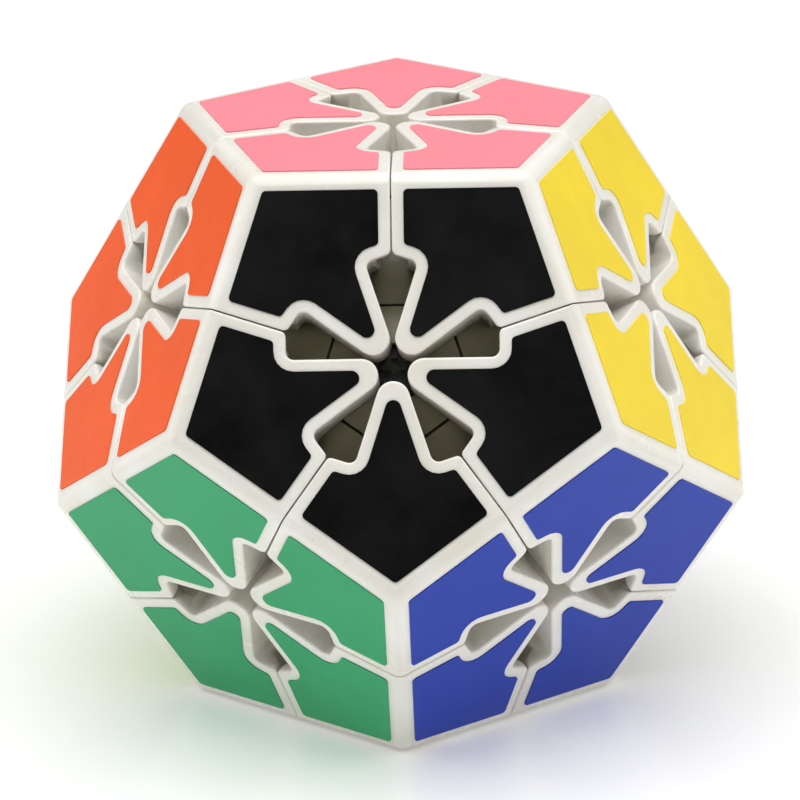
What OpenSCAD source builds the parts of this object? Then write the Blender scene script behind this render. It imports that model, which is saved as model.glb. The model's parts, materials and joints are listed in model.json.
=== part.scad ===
// Twelve-sided twisty puzzle: twenty outer corners over hidden edges, sprung centres and a core.
// All cuts between layers are surfaces of revolution about a face axis, so any face can turn.

/* [Body] */
// Length of one edge of the dodecahedron
edge_len = 30; // [27:0.5:34]
// Gap between neighbouring pieces along a straight seam
seam_gap = 0.16; // [0.12:0.02:0.3]
// Thickness of the corner walls below the faces
cap_wall = 1.8; // [1.2:0.1:2.4]
// Depth from a face to the bottom of the corner caps
cap_depth = 7.6; // [6.4:0.1:8]
// Radius of the hollow inside each corner cap
hollow_r = 5.2; // [4:0.1:5.6]

/* [Face openings] */
// How far the side of an opening passes the face's centre
side_offset = 0.7; // [0.5:0.05:0.8]
// Radius of each corner's tip
tip_r = 1.8; // [1.5:0.05:2]
// Distance from the face's centre to the end of a petal-shaped opening
petal_end = 12.14; // [11:0.1:13]
// Radius in the two corners of a petal's end
bulb_r = 0.9; // [0.6:0.1:1.2]
// Radius where a petal's end meets the seam
seam_corner_r = 0.65; // [0.4:0.05:0.8]

/* [Stickers] */
// Thickness of the vinyl
sticker_t = 0.15; // [0.1:0.05:0.3]
// White rim between a sticker and an opening or a seam
rim = 1.3; // [1:0.1:1.8]
// Distance from a sticker to the edges of the face
sticker_inset = 1.58; // [1.2:0.1:2]
// Radius of the sticker's outer corners
sticker_r = 0.5; // [0.3:0.1:0.8]
// Radius of the sticker's tip
sticker_tip_r = 0.85; // [0.6:0.05:1]

/* [Mechanism] */
// Radial gap between the caps, the inner blocks and the feet
layer_gap = 0.5; // [0.3:0.1:0.6]
// Thickness of the edge blocks and of the centre caps
block_t = 4.8; // [4:0.1:5.2]
// Thickness of the feet
foot_t = 3.8; // [3:0.1:4.2]
// Angle between a turning layer's pieces and the rest, seen from the centre
turn_gap = 0.7; // [0.5:0.1:0.9]
// Radius of a centre's stem
stem_r = 3.1; // [2.9:0.05:3.2]
// Radius of the spring's bore in a stem
spring_bore_r = 2.4; // [2.3:0.05:2.5]
// Radius of the open recess over a screw's head
recess_r = 3.3; // [3:0.1:3.6]
// Clearance of a part that fits in a bore
fit = 0.05; // [0.05:0.01:0.1]
// Clearance between a stem and the feet around it
stem_clear = 0.15; // [0.1:0.05:0.2]

/* [Core and fastenings] */
// Radius of the core's ball
ball_r = 8; // [7:0.5:9]
// Radius of the core's posts
post_r = 3; // [2.6:0.1:3.2]
// Length from the middle to the end of a post
post_end = 14; // [13:0.2:14.4]
// Radius of a screw's shank
shank_r = 1.25; // [1:0.05:1.4]
// Radius of a screw's head
head_r = 2.9; // [2.7:0.1:2.9]
// Thickness of a screw's head
head_t = 1.6; // [1.2:0.1:2]
// Length of the cross slot in a screw's head
slot_len = 3.5; // [3:0.1:4]
// Width of the cross slot
slot_w = 0.8; // [0.6:0.1:1]
// Thickness of the washer under a screw's head
washer_t = 0.4; // [0.3:0.1:0.6]
// Radius of the spring's wire
wire_r = 0.25; // [0.2:0.05:0.3]
// Half turns in each spring
spring_halves = 9; // [7:1:11]
// Clearance around a screw's shank, and between the spring and its bore
shank_clear = 0.15; // [0.1:0.05:0.2]
// Gap between the end of a post and the stem over it
post_gap = 0.4; // [0.2:0.1:0.6]
// Depth that a post is let into the ball
post_root = 1; // [0.5:0.1:1.5]
// Height of the spring's seat above the inside of the feet
seat_lift = 1.2; // [0.8:0.1:1.6]
// Thickness of a centre cap under the screw's recess
recess_t = 1; // [0.8:0.1:1.4]
// Height of a screw's tip above the ball
screw_lift = 1.6; // [1:0.1:2]
// Depth of the hole below a screw's tip
tip_clear = 0.4; // [0.2:0.1:0.6]
// Length of the plug that closes a corner cap
plug_t = 4; // [3:0.5:5]

/* [Hidden] */
$fn = 48;
// The regular dodecahedron: radii to a face, to a vertex and in a face, and the angles between them
golden = (1 + sqrt(5)) / 2;
in_r = edge_len * golden * golden / (2 * sqrt(3 - golden));
vertex_r = edge_len * sqrt(3) * golden / 2;
face_in_r = edge_len / (2 * tan(36));
between_faces = atan(2);
to_mid_edge = between_faces / 2;
to_vertex = acos(in_r / vertex_r);
vertex_to_mid_edge = asin(edge_len / (2 * vertex_r));
mid_edge_to_end_face = 90 - to_mid_edge;
vertex_to_next_face = acos(cos(to_vertex) * cos(between_faces)
    - sin(to_vertex) * sin(between_faces) * cos(72));
ring_el = 90 - between_faces;
reach = 2 * vertex_r;

// Radii of the spherical shells, from a face inwards
cap_in = in_r - cap_depth;
block_out = cap_in - layer_gap;
block_in = block_out - block_t;
foot_out = block_in - layer_gap;
foot_in = foot_out - foot_t;

// Half angles of the cones that part the layers, about a face axis and about a vertex axis
block_cone = 46;
foot_cone = 52;
stalk_cone = 8;
corner_foot_cone = 14;
half_turn = turn_gap / 2;
half_seam = seam_gap / 2;

// The layer boundary: a cone inside, then the surface that a seam sweeps as a face turns
wall_clear = 0.15;
cone_lift = (side_offset + wall_clear) / sin(between_faces);
seam_rise = sin(between_faces) * sin(18);
seam_base = in_r * cos(between_faces);
seam_steps = 12;
seam_past = 3;
seam_end = face_in_r + seam_past;
sweep_angle = 80;
arc_steps = 5;
// The seam's surface cuts the cone at a root of a quadratic equation
quad_a = 5 * seam_rise * seam_rise - 1;
quad_b = 2 * seam_rise * (5 * seam_base - 4 * cone_lift);
quad_c = 4 * cone_lift * (cone_lift - 2 * seam_base);
seam_start = (sqrt(quad_b * quad_b - 4 * quad_a * quad_c) - quad_b) / (2 * quad_a);

// Heights in a centre piece, along its face axis
post_start = sqrt(ball_r * ball_r - post_r * post_r) - post_root;
stem_end = post_end + post_gap;
spring_seat = foot_in + seat_lift;
recess_floor = block_in + recess_t;
washer_z = recess_floor + 2 * fit;
head_z = washer_z + washer_t;
screw_tip = ball_r + screw_lift;
spring_r = spring_bore_r - wire_r - shank_clear;
spring_rise = (washer_z - spring_seat - 2 * wire_r - 2 * fit) / spring_halves;
plug_r = hollow_r - fit;
hollow_top = (in_r - cap_wall - sin(to_vertex) * hollow_r) / cos(to_vertex);

// Faces: colour name, azimuth, elevation and colour. Azimuth 0 points to -Y and grows towards +X.
FACES = [
    ["pink", 36, 90, "#FF96A3"],
    ["black", 0, ring_el, "#101411"],
    ["yellow", 72, ring_el, "#FFE048"],
    ["purple", 144, ring_el, "#7B4FA0"],
    ["sky", 216, ring_el, "#6DB8E8"],
    ["orange", 288, ring_el, "#FF6529"],
    ["blue", 36, -ring_el, "#2E47AE"],
    ["grey", 108, -ring_el, "#8C9091"],
    ["cream", 180, -ring_el, "#F2E7B8"],
    ["lime", 252, -ring_el, "#A4D233"],
    ["green", 324, -ring_el, "#3DA76C"],
    ["red", 0, -90, "#8C1C24"]
];
BODY_WHITE = "#FBFAF5";
function upper(k) = 1 + (k + 5) % 5;
function lower(k) = 6 + (k + 5) % 5;

// The faces whose layers turn here: opposite ones, which never meet however they are turned
LAYERS = [0, 11];
function layer_name(l) = l < 0 ? "fixed" : FACES[l][0];
function layer_among(faces) = [for (l = LAYERS) if (len(search(l, faces)) > 0) l];
function layer_of(faces) = len(layer_among(faces)) > 0 ? layer_among(faces)[0] : -1;
ALL_LAYERS = concat([-1], LAYERS);

// Corners: azimuth, elevation, spin and the three faces they carry
CORNERS = [for (k = [0:4], c = [
    [36 + 72 * k, 90 - to_vertex, 0, [0, upper(k + 1), upper(k)]],
    [36 + 72 * k, to_vertex - ring_el, 180, [lower(k), upper(k), upper(k + 1)]],
    [72 * k, ring_el - to_vertex, 0, [upper(k), lower(k), lower(k - 1)]],
    [72 * k, to_vertex - 90, 180, [11, lower(k - 1), lower(k)]]
]) c];
function corner_name(c) =
    str("corner_", FACES[c[3][0]][0], "_", FACES[c[3][1]][0], "_", FACES[c[3][2]][0]);

// Edges: azimuth, elevation, spin and the two faces they lie between
EDGES = [for (k = [0:4], e = [
    [72 * k, 90 - to_mid_edge, 0, [0, upper(k)]],
    [36 + 72 * k, to_mid_edge, 90, [upper(k), upper(k + 1)]],
    [18 + 72 * k, 0, to_mid_edge, [upper(k), lower(k)]],
    [54 + 72 * k, 0, -to_mid_edge, [upper(k + 1), lower(k)]],
    [72 + 72 * k, -to_mid_edge, 90, [lower(k), lower(k + 1)]],
    [36 + 72 * k, to_mid_edge - 90, 0, [11, lower(k)]]
]) e];

// Names of the nodes
function group_name(kind, l) = str(kind, "_", layer_name(l));
function sticker_name(f, l) = str("stickers_", FACES[f][0], "_on_", layer_name(l));
function has_sticker(f, l) =
    len([for (c = CORNERS) if (layer_of(c[3]) == l && len(search(f, c[3])) > 0) c]) > 0;
CORNER_NODES = [for (c = CORNERS) corner_name(c)];
EDGE_NODES = [for (l = ALL_LAYERS) group_name("edges", l)];
CENTRE_NODES = [for (l = ALL_LAYERS) group_name("centres", l)];
STICKER_NODES = [for (f = [0:11], l = ALL_LAYERS) if (has_sticker(f, l)) sticker_name(f, l)];

// Turns +Z to a direction; +X then points down the sphere, before the spin about the direction
module aim(az, el, spin) {
    rotate([0, 0, az - 90]) rotate([0, 90 - el, 0]) rotate([0, 0, spin]) children();
}

// A face's frame: the face's normal is +Z and one of its vertices lies towards +X
module at_face(f) {
    aim(FACES[f][1], FACES[f][2], FACES[f][2] > 0 ? 0 : 180) children();
}

// From a corner's frame to the frame of its own face number k, with the vertex towards +X
module own_face(k) {
    rotate([0, 0, 180 - 120 * k]) rotate([0, to_vertex, 0]) rotate([0, 0, 180]) children();
}

// Everything on the +X side of a plane that holds the Y axis and leans from Z by an angle
module beyond(angle, offset = 0) {
    rotate([0, angle, 0]) translate([offset, -reach, -reach]) cube([reach, 2 * reach, 2 * reach]);
}

module cone(angle) {
    cylinder(r1 = 0, r2 = vertex_r * tan(angle), h = vertex_r);
}

module shell(inner, outer) {
    difference() {
        sphere(outer);
        sphere(inner);
    }
}

// What a turning layer sweeps among the outer pieces, about its face axis
function seam_z(s) = seam_base + seam_rise * s;
function seam_rad(s) = sqrt(in_r * in_r + s * s - pow(seam_z(s), 2));
function seam_point(s) = [seam_rad(s), seam_z(s)];
module layer_sweep() {
    inner = cap_in - seam_past * 2;
    top = seam_z(seam_end) + seam_past;
    rotate([0, 0, 180 - sweep_angle / 2]) rotate_extrude(angle = sweep_angle) polygon(concat(
        [[inner, inner / 2 + cone_lift]],
        [for (i = [0:seam_steps]) seam_point(seam_start + (seam_end - seam_start) * i / seam_steps)],
        [[seam_rad(seam_end), top], [inner, top]]
    ));
}

// Points in a face's plane, whose origin is the face's centre, with this corner's vertex towards +X.
// The side of an opening leans 18 degrees from X, and a seam 36 degrees.
function leaning(angle, along, across) =
    [along * cos(angle) - across * sin(angle), along * sin(angle) + across * cos(angle)];
function arc(centre, r, from, to) =
    [for (i = [0:arc_steps]) let (a = from + (to - from) * i / arc_steps)
        centre + r * [cos(a), sin(a)]];
function flip_back(points) = [for (i = [len(points) - 1:-1:1]) [points[i].x, -points[i].y]];

// One side of a corner, from its tip to where the seam starts, drawn in from the opening by inset
function opening_side(inset, tip, corner_r) =
    let (side = side_offset - inset)
    let (along_end = petal_end * cos(18) + inset)
    let (bulb = bulb_r + inset)
    let (seam = half_seam + inset)
    let (to_seam = (along_end - seam * sin(18)) / cos(18))
    let (corner_across = to_seam * sin(18) - seam * cos(18) - corner_r / tan(54))
    concat(
        arc([(tip - side) / sin(18), 0], tip, 180, 108),
        arc(leaning(18, along_end - bulb, side + bulb), bulb, -72, 18),
        arc(leaning(18, along_end + corner_r, corner_across), corner_r, 198, 126)
    );

// The opening beside one corner, reaching a little past the seams
module opening() {
    corner_side = opening_side(0, tip_r, seam_corner_r);
    past_seam = corner_side[len(corner_side) - 1] + leaning(36, 0, 1);
    half = concat(corner_side, [past_seam]);
    polygon(concat(half, [[-tip_r, 0]], flip_back(half)));
}

module sticker_outline() {
    far = face_in_r - sticker_inset - sticker_r;
    half = concat(
        opening_side(rim, sticker_tip_r, sticker_r),
        arc(leaning(36, far, -half_seam - rim - sticker_r), sticker_r, 126, 36),
        arc([far / cos(36), 0], sticker_r, 36, 0)
    );
    polygon(concat(half, flip_back([for (i = [0:len(half) - 2]) half[i]])));
}

module corner_cap() {
    difference() {
        translate([0, 0, cap_in / 2]) cylinder(r = edge_len, h = vertex_r);
        sphere(cap_in);
        for (k = [0:2]) {
            own_face(k) translate([-reach, -reach, in_r]) cube([2 * reach, 2 * reach, reach]);
            own_face(k) translate([0, 0, cap_in * cos(to_mid_edge)])
                linear_extrude(in_r) opening();
            rotate([0, 0, -120 * k]) {
                beyond(vertex_to_mid_edge, -half_seam);
                rotate([0, vertex_to_next_face, 0]) layer_sweep();
            }
        }
        translate([0, 0, block_in]) cylinder(r = hollow_r, h = hollow_top - block_in);
    }
}

// The plug that closes a corner cap, with the stalk and the foot that hold it in the mechanism
module corner_foot() {
    stalk_end = cap_in + plug_t / 4;
    difference() {
        union() {
            intersection() {
                cone(corner_foot_cone);
                sphere(foot_out);
            }
            cylinder(r1 = 0, r2 = stalk_end * tan(stalk_cone), h = stalk_end);
            translate([0, 0, cap_in + fit]) cylinder(r = plug_r, h = plug_t);
        }
        sphere(foot_in);
    }
}

module corner(c) {
    color(BODY_WHITE) aim(c[0], c[1], c[2]) {
        corner_cap();
        corner_foot();
    }
}

// The part of a shell that lies in both of an edge's layers and clear of the two at its ends
module edge_shell(inner, outer, angle, end_angle) {
    difference() {
        intersection() {
            shell(inner, outer);
            rotate([0, to_mid_edge, 0]) cone(angle - half_turn);
            rotate([0, -to_mid_edge, 0]) cone(angle - half_turn);
        }
        for (side = [90, -90]) rotate([0, 0, side])
            beyond(mid_edge_to_end_face - end_angle - half_turn);
    }
}

module edge() {
    edge_shell(block_in, block_out, block_cone, block_cone);
    edge_shell(foot_out - fit, block_in + fit, block_cone, foot_cone);
    difference() {
        edge_shell(foot_in, foot_out, foot_cone, foot_cone);
        for (side = [1, -1]) rotate([0, side * to_mid_edge, 0])
            cylinder(r = stem_r + stem_clear, h = foot_out);
    }
}

module edges(l) {
    color(BODY_WHITE) for (e = EDGES) if (layer_of(e[3]) == l) aim(e[0], e[1], e[2]) edge();
}

module centre() {
    difference() {
        union() {
            difference() {
                shell(block_in, block_out);
                for (k = [0:4]) rotate([0, 0, 36 + 72 * k])
                    beyond(between_faces - block_cone - half_turn);
            }
            translate([0, 0, stem_end]) cylinder(r = stem_r, h = recess_floor - stem_end);
        }
        translate([0, 0, stem_end - post_gap]) cylinder(r = shank_r + shank_clear, h = block_out);
        translate([0, 0, spring_seat]) cylinder(r = spring_bore_r, h = block_out);
        translate([0, 0, recess_floor]) cylinder(r = recess_r, h = block_out);
    }
}

module centres(l) {
    faces = [for (f = [0:11]) if (l < 0 ? len(search(f, LAYERS)) == 0 : f == l) f];
    color(BODY_WHITE) for (f = faces) at_face(f) centre();
}

module core() {
    color("#3A3D40") difference() {
        union() {
            sphere(ball_r);
            for (f = [0:11]) at_face(f) translate([0, 0, post_start])
                cylinder(r = post_r, h = post_end - post_start);
        }
        for (f = [0:11]) at_face(f) translate([0, 0, screw_tip - tip_clear])
            cylinder(r = shank_r + fit, h = post_end);
    }
}

module screws() {
    slot = [slot_len, slot_w, head_t];
    color("#5B5D60") for (f = [0:11]) at_face(f) difference() {
        union() {
            translate([0, 0, screw_tip]) cylinder(r = shank_r, h = head_z - screw_tip + fit);
            translate([0, 0, head_z]) cylinder(r = head_r, h = head_t);
        }
        for (a = [0, 90]) translate([0, 0, head_z + head_t]) rotate([0, 0, a])
            cube(slot, center = true);
    }
}

module washers() {
    color("#9A9CA0") for (f = [0:11]) at_face(f) translate([0, 0, washer_z]) difference() {
        cylinder(r = spring_r + wire_r, h = washer_t - fit);
        translate([0, 0, -washer_t]) cylinder(r = shank_r + shank_clear, h = 3 * washer_t);
    }
}

// A spring as half turns that lean to and fro about Y, so each meets the next end to end
module springs() {
    lean = asin(spring_rise / (2 * spring_r));
    color("#B4B6B8") for (f = [0:11]) at_face(f)
        for (i = [0:spring_halves - 1])
            translate([0, 0, spring_seat + wire_r + fit + spring_rise * (i + 0.5)])
                rotate([0, i % 2 == 0 ? lean : -lean, 0]) rotate([0, 0, 180 * (i % 2)])
                    rotate_extrude(angle = 180) translate([spring_r, 0]) circle(wire_r);
}

module sticker() {
    translate([0, 0, in_r]) linear_extrude(sticker_t) sticker_outline();
}

module stickers(f, l) {
    color(FACES[f][3]) for (c = CORNERS) if (layer_of(c[3]) == l)
        aim(c[0], c[1], c[2]) for (k = [0:2]) if (c[3][k] == f) own_face(k) sticker();
}

core();
screws();
washers();
springs();
for (l = ALL_LAYERS) {
    centres(l);
    edges(l);
    for (f = [0:11]) stickers(f, l);
}
for (c = CORNERS) corner(c);
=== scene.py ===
import json
import math
import bmesh
import bpy
from mathutils import Matrix, Vector


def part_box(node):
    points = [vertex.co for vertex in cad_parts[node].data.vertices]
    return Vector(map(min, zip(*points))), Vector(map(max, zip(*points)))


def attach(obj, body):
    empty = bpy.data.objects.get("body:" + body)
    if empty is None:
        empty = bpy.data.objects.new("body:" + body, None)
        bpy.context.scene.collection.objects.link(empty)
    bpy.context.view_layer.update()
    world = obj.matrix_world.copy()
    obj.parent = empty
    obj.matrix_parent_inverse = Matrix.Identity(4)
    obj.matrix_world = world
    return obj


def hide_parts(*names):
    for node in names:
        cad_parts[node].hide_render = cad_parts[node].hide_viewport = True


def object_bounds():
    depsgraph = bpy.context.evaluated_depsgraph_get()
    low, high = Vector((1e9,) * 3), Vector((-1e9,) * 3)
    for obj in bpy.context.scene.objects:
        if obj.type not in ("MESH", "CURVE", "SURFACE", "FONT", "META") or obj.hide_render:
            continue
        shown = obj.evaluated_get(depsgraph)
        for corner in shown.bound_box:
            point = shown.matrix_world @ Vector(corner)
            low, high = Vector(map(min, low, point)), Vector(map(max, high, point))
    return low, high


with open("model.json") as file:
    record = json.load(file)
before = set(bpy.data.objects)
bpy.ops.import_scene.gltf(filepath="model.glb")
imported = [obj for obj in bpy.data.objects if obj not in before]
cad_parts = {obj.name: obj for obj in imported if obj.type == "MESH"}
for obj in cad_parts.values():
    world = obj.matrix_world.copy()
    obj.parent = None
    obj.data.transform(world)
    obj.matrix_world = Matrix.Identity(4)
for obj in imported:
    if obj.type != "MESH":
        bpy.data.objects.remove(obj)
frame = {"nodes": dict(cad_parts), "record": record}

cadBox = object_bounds()
mm = 0.001


def linearColour(hexValue):
    channels = [int(hexValue[i:i + 2], 16) / 255 for i in (1, 3, 5)]
    return [c / 12.92 if c <= 0.04045 else ((c + 0.055) / 1.055) ** 2.4 for c in channels] + [1]


def perMetre(sizeInMm):
    return 1 / (sizeInMm * mm)


def setInputs(tree, node, inputs):
    for socket, value in inputs.items():
        if isinstance(value, bpy.types.NodeSocket):
            tree.links.new(value, node.inputs[socket])
        else:
            node.inputs[socket].default_value = value


def addNode(tree, kind, inputs=None, **settings):
    node = tree.nodes.new(kind)
    for name, value in settings.items():
        setattr(node, name, value)
    setInputs(tree, node, inputs or {})
    return node


def newMaterial(name, inputs):
    material = bpy.data.materials.new(name)
    material.use_nodes = True
    tree = material.node_tree
    shader = tree.nodes["Principled BSDF"]
    setInputs(tree, shader, inputs)
    place = addNode(tree, "ShaderNodeTexCoord").outputs["Object"]
    return material, tree, shader, place


# a value that drifts between two limits over clouds of one size: the middle of a noise's range, stretched
def drift(tree, place, cloudMm, limits=(0, 1), detail=2, roughness=0.5, middle=(0.3, 0.7)):
    cloud = addNode(tree, "ShaderNodeTexNoise", {
        "Vector": place, "Scale": perMetre(cloudMm), "Detail": detail, "Roughness": roughness})
    return addNode(tree, "ShaderNodeMapRange", {
        "Value": cloud.outputs["Fac"], "From Min": middle[0], "From Max": middle[1],
        "To Min": limits[0], "To Max": limits[1]}).outputs["Result"]


# ABS, injection moulded in a polished tool: glossy, with faint sink marks and light scattering inside
mouldedPlastic = {
    "shader": {"IOR": 1.53, "Subsurface Weight": 0.08, "Subsurface Scale": 1.2 * mm},
    "shadeDetail": 3, "glossDetail": 4, "sinkDetail": 1, "grainDetail": 2, "grainShare": 0.06,
    # the openness limits, the samples and the darkest share below set the painted shade in the seams
    "reliefMm": 0.05, "reliefStrength": 0.5, "openness": (0.1, 0.55), "openSamples": 4, "mostPaintedShade": 0.55,
    "specks": {"limits": (0, 0.5), "detail": 4, "roughness": 0.7, "middle": (0.74, 0.8)},
}
whiteAbs = {
    # the darkest tone colours both the dirt specks and the painted shade in the seams; the last length is how
    # far that painted shade reaches
    "colour": "#FAF8F2", "warmer": "#F1EDE1", "specksAndPaintedShade": "#8F8A78",
    "roughness": (0.2, 0.3), "cloudMm": 9, "sinkMm": 6, "grainMm": 0.35, "speckMm": 1.3, "paintedShadeReachMm": 0.7,
}

# the inner pieces come from a rougher tool; their olive grey is painted shade, darker than the outer white, for
# the shadow deep in the openings
innerAbsPaintedShade = {
    "colour": "#C4C1A8", "warmer": "#B2AE94", "specksAndPaintedShade": "#504C38",
    "roughness": (0.32, 0.48), "cloudMm": 5, "sinkMm": 4, "grainMm": 0.3, "speckMm": 1.0, "paintedShadeReachMm": 1.5,
}


def mouldedAbs(name, look):
    common = mouldedPlastic
    material, tree, shader, place = newMaterial(name, common["shader"])
    clean = addNode(tree, "ShaderNodeMix", {
        0: drift(tree, place, look["cloudMm"], detail=common["shadeDetail"]),
        6: linearColour(look["colour"]), 7: linearColour(look["warmer"])}, data_type="RGBA")
    # painted shade in the seams, darker where ambient occlusion finds the surface closed in, and a few dirt
    # specks anywhere
    seams = addNode(tree, "ShaderNodeAmbientOcclusion", {
        "Distance": look["paintedShadeReachMm"] * mm}, samples=common["openSamples"])
    paintedSeamShade = addNode(tree, "ShaderNodeMapRange", {
        "Value": seams.outputs["AO"], "From Min": common["openness"][0], "From Max": common["openness"][1],
        "To Min": common["mostPaintedShade"], "To Max": 0})
    specks = drift(tree, place, look["speckMm"], **common["specks"])
    specksAndPaintedShade = addNode(tree, "ShaderNodeMath", {0: paintedSeamShade.outputs["Result"], 1: specks}, operation="MAXIMUM")
    colour = addNode(tree, "ShaderNodeMix", {
        0: specksAndPaintedShade.outputs[0], 6: clean.outputs[2], 7: linearColour(look["specksAndPaintedShade"])}, data_type="RGBA")
    # shallow sink marks under a fine grain
    sinks, grain = (addNode(tree, "ShaderNodeTexNoise", {
        "Vector": place, "Scale": perMetre(look[size]), "Detail": common[detail]}).outputs["Fac"]
        for size, detail in (("sinkMm", "sinkDetail"), ("grainMm", "grainDetail")))
    height = addNode(tree, "ShaderNodeMath", {
        0: grain, 1: common["grainShare"], 2: sinks}, operation="MULTIPLY_ADD")
    relief = addNode(tree, "ShaderNodeBump", {
        "Height": height.outputs[0], "Distance": common["reliefMm"] * mm, "Strength": common["reliefStrength"]})
    gloss = drift(tree, place, look["sinkMm"], look["roughness"], common["glossDetail"])
    setInputs(tree, shader, {
        "Base Color": colour.outputs[2], "Roughness": gloss, "Normal": relief.outputs["Normal"]})
    return material


# vinyl, calendered and die cut: smooth, a little softer in its gloss than the plastic, with a faint orange peel
stickerVinyl = {
    "shader": {"IOR": 1.45, "Specular IOR Level": 0.2},
    "shade": {"cloudMm": 12, "detail": 5, "roughness": 0.6},
    "gloss": {"cloudMm": 6, "detail": 6, "roughness": 0.7, "limits": (0.3, 0.42)},
    "relief": {"sizeMm": 0.8, "detail": 2, "depthMm": 0.01, "strength": 0.4},
    "wornShare": 0.9, "wornLift": 0.006,
}
stickerColours = {
    "pink": "#FF96A2", "black": "#050705", "yellow": "#FFE23A", "purple": "#7B4FA0", "sky": "#6DB8E8",
    "orange": "#FF6018", "blue": "#1E3EB2", "grey": "#8C9091", "cream": "#F2E7B8", "lime": "#A4D233",
    "green": "#33AC72", "red": "#8C1C24",
}


# a grain that shades the colour, the gloss and the surface together
def grained(colours, grainMm, detail, roughness, depthMm, shader):
    grain = {"cloudMm": grainMm, "detail": detail}
    return {
        "colours": [linearColour(c) for c in colours], "shader": shader,
        "shade": grain, "gloss": {**grain, "limits": roughness},
        "relief": {"sizeMm": grainMm, "detail": detail, "depthMm": depthMm, "strength": 0.5},
    }


# turned steel, the screws with dark zinc plate, and a core moulded in matt nylon
hiddenLooks = {
    "screws": ("darkZinc", grained(("#4C4D4C", "#6F6E6A"), 0.4, 4, (0.3, 0.5), 0.01, {"Metallic": 1})),
    "washers": ("brightSteel", grained(("#A9A8A4", "#C4C3BF"), 0.5, 4, (0.22, 0.4), 0.01, {"Metallic": 1})),
    "springs": ("springWire", grained(("#9C9B97", "#BDBCB8"), 0.3, 4, (0.25, 0.4), 0.01, {"Metallic": 1})),
    "core": ("coreNylon", grained(("#34373A", "#42464A"), 0.4, 3, (0.5, 0.65), 0.02, {"IOR": 1.53})),
}

# the table: sprayed white board, so its gloss is soft
lacqueredBoard = {
    "colours": [linearColour("#F7F7F6"), linearColour("#F3F3F1")],
    "shader": {"IOR": 1.5, "Emission Strength": 0.2, "Emission Color": linearColour("#FFFFFF")},
    "shade": {"cloudMm": 60, "detail": 3},
    "gloss": {"cloudMm": 60, "detail": 3, "limits": (0.24, 0.3)},
    "relief": {"sizeMm": 1.5, "detail": 2, "depthMm": 0.01, "strength": 0.3},
}


def cloudyMaterial(name, look):
    material, tree, shader, place = newMaterial(name, look["shader"])
    first, second = look["colours"]
    colour = addNode(tree, "ShaderNodeMix", {
        0: drift(tree, place, **look["shade"]), 6: first, 7: second}, data_type="RGBA")
    surface = look["relief"]
    height = addNode(tree, "ShaderNodeTexNoise", {
        "Vector": place, "Scale": perMetre(surface["sizeMm"]), "Detail": surface["detail"]})
    relief = addNode(tree, "ShaderNodeBump", {
        "Height": height.outputs["Fac"], "Distance": surface["depthMm"] * mm, "Strength": surface["strength"]})
    setInputs(tree, shader, {
        "Base Color": colour.outputs[2], "Roughness": drift(tree, place, **look["gloss"]),
        "Normal": relief.outputs["Normal"]})
    return material


def vinyl(name, hexValue):
    full = linearColour(hexValue)
    worn = [c * stickerVinyl["wornShare"] + stickerVinyl["wornLift"] for c in full[:3]] + [1]
    return cloudyMaterial("vinyl" + name.capitalize(), {**stickerVinyl, "colours": (full, worn)})


# The twelve face normals of a dodecahedron that stands on a face, and the distance to the faces
ringLift = math.pi / 2 - math.atan(2)


def faceNormals():
    normals = [Vector((0, 0, 1)), Vector((0, 0, -1))]
    for step in range(10):
        around = math.radians(36 * step)
        lift = ringLift if step % 2 == 0 else -ringLift
        normals.append(Vector((
            math.sin(around) * math.cos(lift), -math.cos(around) * math.cos(lift), math.sin(lift))))
    return normals


normals = faceNormals()
stickerBottom = cadBox[0][2]
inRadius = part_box("stickers_pink_on_pink")[0][2]

# how close counts as the same, and the angles at which an edge is dissolved, rounded or kept sharp
limits = {
    "sameNormal": 0.9999, "samePlane": 0.02 * mm, "weld": 0.002 * mm,
    "dissolve": math.radians(0.6), "rim": math.radians(10), "sharp": math.radians(35),
}

# the body edges get the full width of the corners' rounding and the rims a share of it
rimShare = 0.26
cornerRounding = {"width": 1.0 * mm, "segments": 5, "limit_method": "WEIGHT", "use_clamp_overlap": False}
innerRounding = {"width": 0.25 * mm, "segments": 3, "limit_method": "ANGLE", "angle_limit": math.radians(40)}
stickerRounding = {"width": 0.05 * mm, "segments": 2, "limit_method": "ANGLE", "angle_limit": math.radians(60)}


def isOuter(face):
    return any(
        face.normal.dot(n) > limits["sameNormal"]
        and abs(face.calc_center_median().dot(n) - inRadius) < limits["samePlane"]
        for n in normals)


def welded(node, name):
    mesh = bmesh.new()
    mesh.from_mesh(frame["nodes"][node].data)
    bmesh.ops.remove_doubles(mesh, verts=mesh.verts, dist=limits["weld"])
    bmesh.ops.dissolve_limit(mesh, angle_limit=limits["dissolve"], verts=mesh.verts, edges=mesh.edges)
    piece = bpy.data.objects.new(name, bpy.data.meshes.new(name))
    bpy.context.scene.collection.objects.link(piece)
    return mesh, piece


def addRounding(piece, look):
    rounding = piece.modifiers.new("rounding", "BEVEL")
    for name, value in look.items():
        setattr(rounding, name, value)


def finishPiece(mesh, piece, look, node, body, material):
    mesh.to_mesh(piece.data)
    mesh.free()
    addRounding(piece, look)
    piece.data.shade_smooth()
    piece.data.set_sharp_from_angle(angle=limits["sharp"])
    piece.data.materials.append(material)
    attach(piece, body)
    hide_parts(node)


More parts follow.
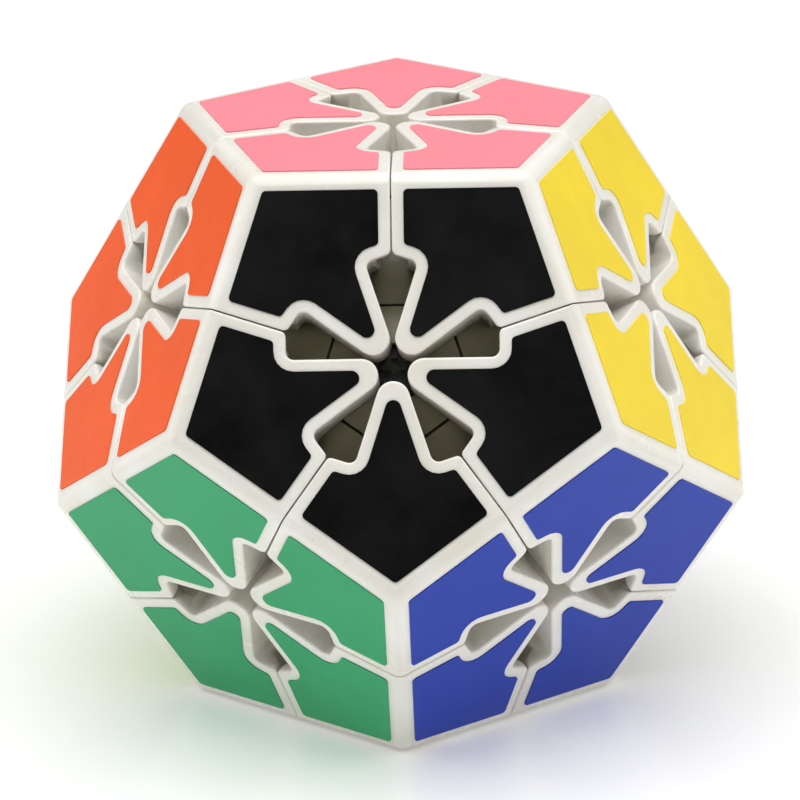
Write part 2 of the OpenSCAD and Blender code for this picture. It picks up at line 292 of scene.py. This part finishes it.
def roundCorner(node, body, material):
    mesh, piece = welded(node, node.replace("corner", "cornerPiece"))
    weights = mesh.edges.layers.float.new("bevel_weight_edge")
    for edge in mesh.edges:
        outer = [isOuter(f) for f in edge.link_faces]
        if len(outer) == 2 and any(outer) and edge.calc_face_angle() > limits["rim"]:
            edge[weights] = 1 if all(outer) else rimShare
    # the narrow walls in the seams are cut up, because they bend round a body edge
    walls = [f for f in mesh.faces if not isOuter(f)]
    bmesh.ops.triangulate(mesh, faces=walls)
    finishPiece(mesh, piece, cornerRounding, node, body, material)


def roundInner(node, body, material):
    mesh, piece = welded(node, node + "_moulded")
    finishPiece(mesh, piece, innerRounding, node, body, material)


def dressPart(part, material):
    part.data.materials.clear()
    part.data.materials.append(material)


def dressSticker(part, material):
    dressPart(part, material)
    # a sticker is flat, so it needs none of the smooth normals it came with
    if "custom_normal" in part.data.attributes:
        part.data.attributes.remove(part.data.attributes["custom_normal"])
    part.data.shade_flat()
    part.modifiers.new("weld", "WELD").merge_threshold = limits["weld"]
    addRounding(part, stickerRounding)


def dress():
    outerPlastic = mouldedAbs("whiteAbs", whiteAbs)
    innerPlastic = mouldedAbs("innerAbsPaintedShade", innerAbsPaintedShade)
    hidden = {node: cloudyMaterial(*look) for node, look in hiddenLooks.items()}
    vinyls = {name: vinyl(name, value) for name, value in stickerColours.items()}
    for body, members in frame["record"]["behaviour"]["bodies"].items():
        for node in members:
            part = frame["nodes"][node]
            if node.startswith("corner"):
                roundCorner(node, body, outerPlastic)
            elif node.startswith(("edges", "centres")):
                roundInner(node, body, innerPlastic)
            elif node.startswith("stickers"):
                dressSticker(part, vinyls[node.split("_")[1]])
            else:
                dressPart(part, hidden[node])
    print("pieces dressed")


cameraView = {
    "azimuth": 1.393, "elevation": 20.93, "roll": -1.384, "distanceMm": 482.8,
    "lens": 188.0, "sensor": 36.0, "shiftX": -0.0002, "shiftY": -0.0063, "clipStart": 0.01,
}


def placeCamera():
    azimuth, elevation, roll = (math.radians(cameraView[k]) for k in ("azimuth", "elevation", "roll"))
    back = Vector((
        math.sin(azimuth) * math.cos(elevation), -math.cos(azimuth) * math.cos(elevation), math.sin(elevation)))
    level = Vector((math.cos(azimuth), math.sin(azimuth), 0))
    up = back.cross(level)
    right = math.cos(roll) * level + math.sin(roll) * up
    above = math.cos(roll) * up - math.sin(roll) * level
    data = bpy.data.cameras.new("camera")
    data.lens, data.sensor_width = cameraView["lens"], cameraView["sensor"]
    data.shift_x, data.shift_y = cameraView["shiftX"], cameraView["shiftY"]
    data.clip_start = cameraView["clipStart"]
    camera = bpy.data.objects.new("camera", data)
    turn = Matrix((right, above, back)).transposed().to_4x4()
    camera.matrix_world = Matrix.Translation(back * cameraView["distanceMm"] * mm) @ turn
    bpy.context.scene.collection.objects.link(camera)
    bpy.context.scene.camera = camera
    print("camera placed")


studio = {
    "backdrop": "#FFFFFF", "room": "#FFFDFA", "roomStrength": 0.02, "tableSize": 6,
    "lights": {
        "topLight": {"size": 2.2, "watts": 36, "place": (0, -0.05, 1.6)},
        "frontLight": {"size": 0.7, "watts": 2.2, "place": (-0.1, -0.9, 1.5)},
        "leftLight": {"size": 1.3, "watts": 4.6, "place": (-1.0, 0.05, 0.42)},
        "rightLight": {"size": 1.3, "watts": 5.2, "place": (1.0, 0.05, 0.42)},
    },
}


def softBox(name, look):
    data = bpy.data.lights.new(name, "AREA")
    data.size = look["size"]
    data.energy = look["watts"]
    light = bpy.data.objects.new(name, data)
    light.location = look["place"]
    light.rotation_euler = (-Vector(look["place"])).to_track_quat("-Z", "Y").to_euler()
    bpy.context.scene.collection.objects.link(light)


def buildStudio():
    bpy.ops.mesh.primitive_plane_add(size=studio["tableSize"], location=(0, 0, stickerBottom))
    table = bpy.context.object
    table.name = "table"
    table.data.materials.append(cloudyMaterial("lacqueredBoard", lacqueredBoard))
    world = bpy.data.worlds.new("studio")
    world.use_nodes = True
    # a white backdrop in a dimmer room
    tree = world.node_tree
    room = tree.nodes["Background"]
    room.inputs["Color"].default_value = linearColour(studio["room"])
    room.inputs["Strength"].default_value = studio["roomStrength"]
    backdrop = addNode(tree, "ShaderNodeBackground", {"Color": linearColour(studio["backdrop"])})
    seen = addNode(tree, "ShaderNodeLightPath").outputs["Is Camera Ray"]
    both = addNode(tree, "ShaderNodeMixShader", {
        0: seen, 1: room.outputs["Background"], 2: backdrop.outputs["Background"]})
    tree.links.new(both.outputs["Shader"], tree.nodes["World Output"].inputs["Surface"])
    bpy.context.scene.world = world
    for name, look in studio["lights"].items():
        softBox(name, look)
    bpy.context.scene.view_settings.view_transform = "Standard"
    print("studio built")


placeCamera()
dress()
buildStudio()
